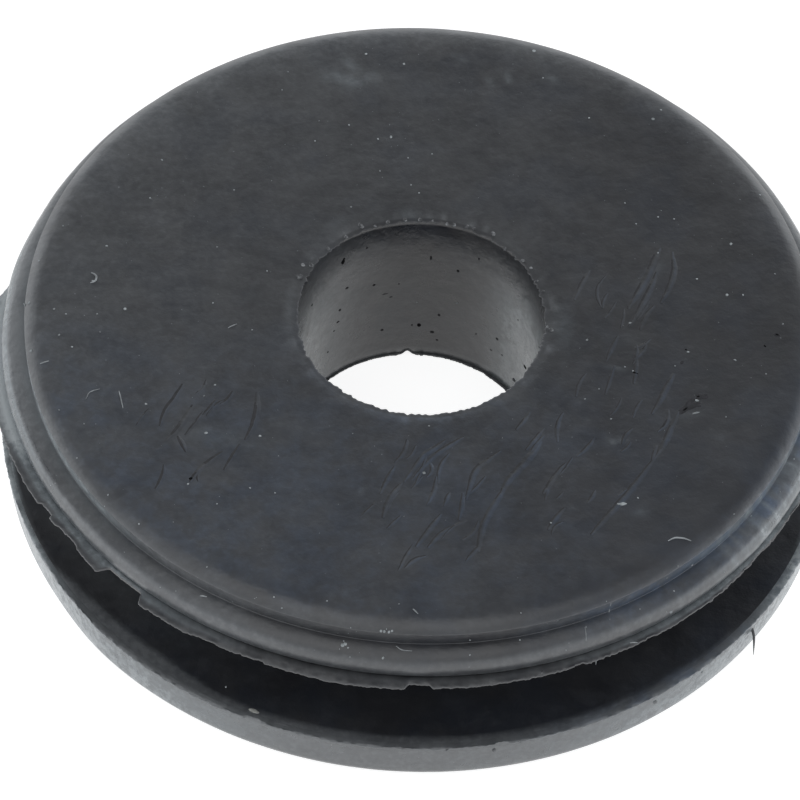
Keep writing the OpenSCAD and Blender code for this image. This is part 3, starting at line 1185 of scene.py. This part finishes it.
def rubber_shader(name, colour_of, roughness, ior, bump):
    """A rubber whose colour comes from colour_of(wiring, masks)."""
    w = cleared(bpy.data.materials.new(name))
    masks = pattern(w, "Rubber patches", patches_group)
    grain = pattern(w, "Rubber grain", grain_group)
    polish = w.get("ShaderNodeAttribute", out="Fac", attribute_name="polish")
    rough = w.between(masks["Cloud"], roughness - 0.04, roughness + 0.06)
    rough = w.math("SUBTRACT", rough, polish * 0.20, clamp=True)
    coated(w, colour_of(w, masks), rough, ior, grain["Height"], bump, 0.00006)


def black_with_dust_and_painted_light(w, masks):
    """Black rubber with a broken pale film and painted light, painted bluish reflection, painted
    side light and glare, a painted highlight on torn edges, and painted shade at roots and wrinkle
    feet.
    """
    f = finish()
    place = w.place()
    film_and_light, smear_and_side_light, torn, bluish, painted_shade = (
        w.get("ShaderNodeAttribute", out="Fac", attribute_name=name)
        for name in ("film_and_light", "smear_and_side_light", "torn", "bluish", "painted_shade"))
    broken = masks["Cloud"] * 0.35 + masks["Speck"] * 0.65
    blotch = w.ramp(w.noise(place, 2.6, 3.0, 0.65), 0.33, 0.67)
    faint = masks["Streak"] * 0.025 + broken * 0.05 + blotch * 0.085
    # Pale film with its painted light, broken by the patches.
    amount = w.math("ADD", film_and_light * w.between(broken, 0.65, 1.35), faint - 0.072, clamp=True)
    # Painted bluish reflection.
    blue = w.ramp(w.noise(place, 0.62, 3.0, 0.6), 0.42, 0.66) * w.between(bluish, 0.45, 0.7)
    blue = w.math("ADD", blue, bluish * 0.55, clamp=True)
    base = w.mix(blue, f.rubber, f.blue_reflection_base)
    tinted = w.ramp(w.noise(place, 1.3, 3.0, 0.6), 0.36, 0.64, 0.25, 1.55)
    pale = w.mix(w.math("MULTIPLY", bluish, tinted, clamp=True), f.bloom_and_light, f.blue_reflection_film)
    colour = w.mix(amount, base, pale)
    edge_noise = w.ramp(w.noise(place, 4.5, 4.0, 0.7), 0.30, 0.70)
    # Chalk with painted side light, and painted glare where it is strongest.
    chalk_and_light_amount = smear_and_side_light * w.between(edge_noise, 0.45, 1.1)
    colour = w.mix(w.math("MULTIPLY", chalk_and_light_amount, 0.55, clamp=True), colour, f.chalk_and_side_light)
    colour = w.mix(w.ramp(chalk_and_light_amount, 1.1, 3.0, 0.0, 0.8, smooth=False), colour, f.talc_and_glare)
    # Painted highlight on the torn lip, then painted shade at the flash's root and along the foot
    # of wrinkles.
    colour = w.mix(torn * 0.7, colour, f.torn_rubber_and_edge_glint)
    return w.mix(painted_shade * 0.6, colour, f.nick)


def speckled(low, high):
    """A colour that is mixed from two by the speckles."""
    return lambda w, masks: w.mix(masks["Speck"], low, high)


def fluff_material(name, colour, spread):
    """Dust or lint: matt, and a little uneven from grain to grain."""
    w = cleared(bpy.data.materials.new(name))
    nap = pattern(w, "Fluff pattern", fluff_group)
    tone = w.mix(nap["Shade"], [c * spread for c in colour], colour)
    coated(w, tone, w.between(nap["Shade"], 0.75, 0.92), 1.4, nap["Height"], 0.4, 0.00001)


def mix_materials():
    """Makes every material of the pieces."""
    f = finish()
    rubber_shader(RUBBER, black_with_dust_and_painted_light, f.roughness, 1.85, 0.35)
    rubber_shader("Smooth bore rubber", black_with_dust_and_painted_light, f.roughness - 0.12, 1.6, 0.30)
    rubber_shader("Torn rubber crumbs", speckled(f.torn_rubber_and_edge_glint, f.crumb), 0.6, 1.6, 0.5)
    # Darker or less reflective rubbers for nicks, pits, scuffs and the foot of wrinkles; in nicks,
    # pits and wrinkle feet they are painted shade.
    for name, depth, ior in (("Dark nick", 1.0, 1.2), ("Shallow pit", 4.0, 1.45),
                             ("Scuffed nick", 6.0, 1.5), ("Wrinkle shade", 5.0, 1.66)):
        inside = speckled([c * depth for c in f.nick], [c * depth * 1.8 for c in f.nick])
        rubber_shader(name, inside, 0.85, ior, 0.3)
    fluff_material("Mineral dust", f.dust, 0.55)
    fluff_material("Textile lint", f.lint, 0.6)
    fluff_material("Pale chip", f.chip, 0.7)


def floor_material():
    """White table that stays white to the camera and still takes a soft shadow."""
    made = bpy.data.materials.new("White table")
    w = cleared(made)
    plain, seen = (w.get("ShaderNodeBsdfDiffuse", {"Color": (tone, tone, tone, 1.0)})
                   for tone in (0.8, 0.5))
    glow = w.get("ShaderNodeEmission", {"Color": (1, 1, 1, 1), "Strength": 0.84})
    both = w.get("ShaderNodeAddShader", {0: seen, 1: glow})
    rays, _ = w.node("ShaderNodeLightPath")
    pick = w.math("MAXIMUM", rays["Is Camera Ray"], rays["Is Glossy Ray"])
    pick = w.math("MAXIMUM", pick, rays["Is Transmission Ray"])
    blend = w.get("ShaderNodeMixShader", {0: pick, 1: plain, 2: both})
    w.node("ShaderNodeOutputMaterial", {"Surface": blend})
    return made


def pale_room():
    """A room that is bright along its walls and dimmer overhead, most of all at the back."""
    world = bpy.data.worlds.new("Pale room")
    w = cleared(world)
    x, y, z = w.parts(w.get("ShaderNodeTexCoord", out="Generated"))
    high = w.ramp(z, 0.22, 0.68)
    dim = high * w.between(w.ramp(y, -0.30, 0.50), 0.56, 0.85)
    flank = w.ramp(w.math("ABSOLUTE", x), 0.40, 0.95)
    back = w.ramp(y, 0.35, 0.85) * 0.55
    near = w.ramp(y, -0.90, -0.40, 1.0, 0.0) * 0.20
    edge = (flank * 0.60 + back - near + 0.12) * (1.0 - high)
    room = w.get("ShaderNodeBackground",
                 {"Color": (0.93, 0.965, 1.0, 1.0), "Strength": 1.0 - dim + edge})
    w.node("ShaderNodeOutputWorld", {"Surface": room})
    return world


# ---------------------------------------------------------------- operators

class MakeMoulding(bpy.types.Operator):
    """Turn the section of the grommet, roughen its bore's mouth and lay its film with its painted
    light and painted bluish reflection
    """

    bl_idname = "grommet.make_moulding"
    bl_label = "Make moulding"

    def execute(self, context):
        section = [(r * MM, 0.0, z * MM) for r, z in moulding_section()]
        source = plain_object("section", section, edges=chain(0, len(section)))
        piece = made_by(turned_tree("Turned moulding"), source, "moulding", {
            "Columns": sizes().columns, "Rows": len(section),
            "Unevenness": 0.000012, "Unevenness scale": 700.0,
            "Material": bpy.data.materials[RUBBER]})
        face_outwards(piece.data)
        self.roughen(piece)
        co = points_of(piece.data)
        # Film with its painted light, and the painted bluish reflection.
        store(piece, "film_and_light", film_and_light_on(co))
        store(piece, "bluish", blue_reflection_on(co))
        self.line_bore(piece)
        # Real chalky smears of the face, and the chalk with painted side light.
        store(piece, "smear_and_side_light", np.maximum(self.smeared(co / MM), chalk_and_side_light_on(co)))
        store(piece, "polish", polish_on(co))
        ride(piece)
        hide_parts("grommet")
        return {"FINISHED"}

    def roughen(self, piece):
        """The mouth of the bore is ragged, and the bead wanders a little."""
        co = points_of(piece.data)
        s = Skin(co)
        r, z, turn, left = s.r, s.z, s.turn, -np.sin(s.turn)
        ragged = waves(71, turn, 150, 24, 0.3) * 0.6 + waves(72, turn, 40, 5, 0.4) * 0.4
        mouth = soft(z, 4.84, 4.93) * (1 - soft(r, 3.0, 3.12))
        bead = soft(r, 9.7, 10.0) * (1 - soft(z, 4.3, 4.45)) * soft(z, 3.7, 3.9)
        lower = soft(r, 9.5, 9.9) * (1 - soft(z, 1.3, 1.5))
        back_left = soft(-s.degrees, 96, 112)
        move = (0.038 * ragged - 0.05 * left ** 4) * mouth + bead * (
            0.012 * waves(73, turn, 30, 3, 0.6) - 0.02 - 0.055 * back_left
            + 0.06 * soft(left, 0.75, 0.97) * (1 - back_left))
        move -= 0.09 * lower * soft(left, 0.70, 0.88) * (1 - back_left)
        co[:, :2] *= ((r + move) / r)[:, None]
        co[:, 2] += MM * notch_at(turn) * (r < 3.2) * (z < 0.12)
        move_points(piece, co)

    def line_bore(self, piece):
        """The wall of the bore has a smoother skin than the rest."""
        piece.data.materials.append(bpy.data.materials["Smooth bore rubber"])
        centre = np.empty(len(piece.data.polygons) * 3)
        piece.data.polygons.foreach_get("center", centre)
        x, y, z = (centre.reshape(-1, 3) / MM).T
        wall = (np.hypot(x, y) < 3.09) & (z < 4.86)
        piece.data.polygons.foreach_set("material_index", wall.astype(np.int32))

    def smeared(self, co):
        """Chalky smears of the face, which fade out from their middles."""
        carrier = Carrier("moulding")
        amount = np.zeros(len(co))
        for u, v, long, wide, degrees, strength in SMEARS:
            centre, _ = carrier.seen(u, v)
            t = math.radians(degrees)
            dx, dy = co[:, 0] - centre.x, co[:, 1] - centre.y
            a = (dx * math.cos(t) + dy * math.sin(t)) / long
            b = (dy * math.cos(t) - dx * math.sin(t)) / wide
            amount = np.maximum(amount, strength * np.exp(-(a * a + b * b) * 1.2))
        return amount * (co[:, 2] > 4.85)


class MakeFlash(bpy.types.Operator):
    """Add the torn flash at the two parting lines and at the bottom of the bore"""

    bl_idname = "grommet.make_flash"
    bl_label = "Make flash"

    def execute(self, context):
        s = sizes()
        rim, bore = s.flange_radius / MM, s.bore_radius / MM
        thick = s.flash_thickness / MM
        # Film with painted light on the flashes: the upper one lighter at its left, the lower one
        # lighter all round; the chalk adds painted side light and glare.
        flash_piece("upper_flash", rim, (TOP - s.upper_thickness) / MM - 0.15, thick, 2400, 21,
                    (UPPER_REACH, UPPER_TEARS, 11, 0.018),
                    film_and_light=lambda a: 0.12 + 0.5 * soft(-np.sin(a), 0.45, 0.85),
                    chalk_and_side_light=lambda a: 5.5 * soft(-np.sin(a), 0.90, 0.995))
        flash_piece("lower_flash", rim, s.lower_thickness / MM - 0.083, thick * 0.8, 1800, 41,
                    (LOWER_REACH, LOWER_TEARS, 31, 0.014), film_and_light=lambda a: 1.0, torn=0.0,
                    chalk_and_side_light=lambda a: 0.15 + 1.4 * np.sin(a) ** 2,
                    cover=lambda a: 1.0 + 0.30 * np.abs(np.sin(a)))
        flash_piece("bore_flash", bore - 0.03, 0.010, 0.046, 900, 61,
                    (BORE_REACH, BORE_TEARS, 51, 0.010), film_and_light=lambda a: 0.55, way=-1, torn=0.4,
                    lift=notch_at)
        return {"FINISHED"}


class MakeMarks(bpy.types.Operator):
    """Wrinkle the face with painted light and shade, and add the painted shade of its nicks and of
    the bore's pits, its scuffs and the crumbs of torn rubber
    """

    bl_idname = "grommet.make_marks"
    bl_label = "Make marks"

    def execute(self, context):
        rng = np.random.default_rng(17)
        carrier = Carrier(*CARRIERS)
        lay_strands("wrinkles", wrinkle_lines(carrier), RUBBER, creased=True, sides=20,
                    step=0.08, wander=0.03, paint=paint_wrinkles)
        # The pits and nicks are flat dark grains: painted shade of the hollows.
        for name, spots, material in (("deep_pits", DEEP_PITS, "Dark nick"),
                                      ("shallow_pits", PITS, "Shallow pit")):
            lay_grains(name, [(*carrier.seen(u, v), (a, b, 0.010), 0.0) for u, v, a, b in spots],
                       material)
        lay_grains("scuffs", laid_between(carrier, SCUFFS, 0.006), "Scuffed nick")
        lay_grains("nicks", laid_between(carrier, NICKS, 0.009), "Dark nick")
        lay_grains("crumbs", [turned_on(carrier, u, v, h * 1.45, h * 0.5, rng)
                              for u, v, h in CRUMBS], "Torn rubber crumbs")
        return {"FINISHED"}


class MakeDust(bpy.types.Operator):
    """Scatter the dust and the lint over the grommet"""

    bl_idname = "grommet.make_dust"
    bl_label = "Make dust"

    def execute(self, context):
        rng = np.random.default_rng(29)
        carrier = Carrier(*CARRIERS)
        grains = [turned_on(carrier, u, v, half, 0.013, rng)
                  for half, spots in DUST.items() for u, v in spots]
        for _ in range(260):
            r, t = math.sqrt(rng.uniform(3.3 ** 2, 9.0 ** 2)), rng.uniform(0, math.tau)
            grains.append(speck(rng, carrier.under(r * math.cos(t), r * math.sin(t)),
                                0.006, 0.013))
        for _ in range(140):
            spot = carrier.beside(rng.uniform(-180, 180), rng.choice(
                [rng.uniform(3.95, 4.9), rng.uniform(0.3, 1.05)], p=[0.75, 0.25]))
            grains.append(speck(rng, spot, 0.007, 0.018))
        grains += laid_between(carrier, FLECKS, 0.018)
        lay_grains("dust", grains, "Mineral dust", fineness=1)
        strands = []
        for half, spots in LINT:
            line = [place + normal * half * 0.3
                    for place, normal in (carrier.seen(u, v) for u, v in spots)]
            strands.append((line, tapered(len(line), half, 0.5)))
        lay_strands("lint", strands, "Textile lint")
        hanging = []
        for u, v, dx, dy, dz, half in HANGING:
            root, normal = carrier.seen(u, v)
            tip = root + Vector((dx, dy, dz))
            hanging.append(([root - normal * half, (root * 2 + tip) / 3 + normal * half * 0.6,
                             tip], [half, half * 0.8, half * 0.15]))
        lay_strands("stubs", hanging[:1], "Textile lint")
        lay_strands("whiskers", hanging[1:], RUBBER)
        lay_grains("chip", laid_between(carrier, CHIP, 0.03), "Pale chip")
        return {"FINISHED"}


class SetStage(bpy.types.Operator):
    """Lay the table, and set the lights and the camera"""

    bl_idname = "grommet.set_stage"
    bl_label = "Set stage"

    def execute(self, context):
        scene = context.scene
        scene.view_settings.view_transform = "Standard"
        floor = plain_object("table", [(-2, -2, 0), (2, -2, 0), (2, 2, 0), (-2, 2, 0)],
                             faces=[(0, 1, 2, 3)])
        floor.location.z = -0.00002
        floor.data.materials.append(floor_material())
        scene.world = pale_room()
        lamp = linked("overhead", bpy.data.lights.new("overhead", "AREA"))
        lamp.data.size = 0.50
        lamp.data.energy = 0.50
        lamp.location = (-0.05, -0.12, 0.45)
        aim = Vector((0, 0, TOP)) - lamp.location
        lamp.rotation_euler = aim.to_track_quat("-Z", "Y").to_euler()
        scene.camera = place_camera()
        return {"FINISHED"}


def place_camera():
    """A camera at the view's point, along its directions."""
    spot, axes = view()
    camera = linked("camera", bpy.data.cameras.new("camera"))
    camera.data.sensor_width = SENSOR
    camera.data.lens = ZOOM / SPOTS_WIDE * SENSOR
    camera.data.clip_start = 0.01
    camera.data.clip_end = 10.0
    camera.matrix_world = Matrix.Translation(spot) @ axes.transposed().to_4x4()
    return camera


class GrommetPanel(bpy.types.Panel):
    """Buttons and values of the grommet"""

    bl_idname = "VIEW3D_PT_grommet"
    bl_label = "Grommet"
    bl_space_type = "VIEW_3D"
    bl_region_type = "UI"
    bl_category = "Grommet"

    def draw(self, context):
        column = self.layout.column()
        for group in (context.scene.grommet_sizes, context.scene.grommet_finish):
            for key in group.__annotations__:
                column.prop(group, key)
        for maker in OPERATORS:
            column.operator(maker.bl_idname)


OPERATORS = (MakeMoulding, MakeFlash, MakeMarks, MakeDust, SetStage)
CLASSES = (GrommetSizes, GrommetFinish, *OPERATORS, GrommetPanel)


def register():
    for kind in CLASSES:
        bpy.utils.register_class(kind)
    bpy.types.Scene.grommet_sizes = bpy.props.PointerProperty(type=GrommetSizes)
    bpy.types.Scene.grommet_finish = bpy.props.PointerProperty(type=GrommetFinish)


def unregister():
    del bpy.types.Scene.grommet_finish
    del bpy.types.Scene.grommet_sizes
    for kind in reversed(CLASSES):
        bpy.utils.unregister_class(kind)


def main():
    register()
    mix_materials()
    bpy.ops.grommet.make_moulding()
    bpy.ops.grommet.make_flash()
    bpy.ops.grommet.make_marks()
    bpy.ops.grommet.make_dust()
    bpy.ops.grommet.set_stage()


if __name__ == "__main__":
    main()
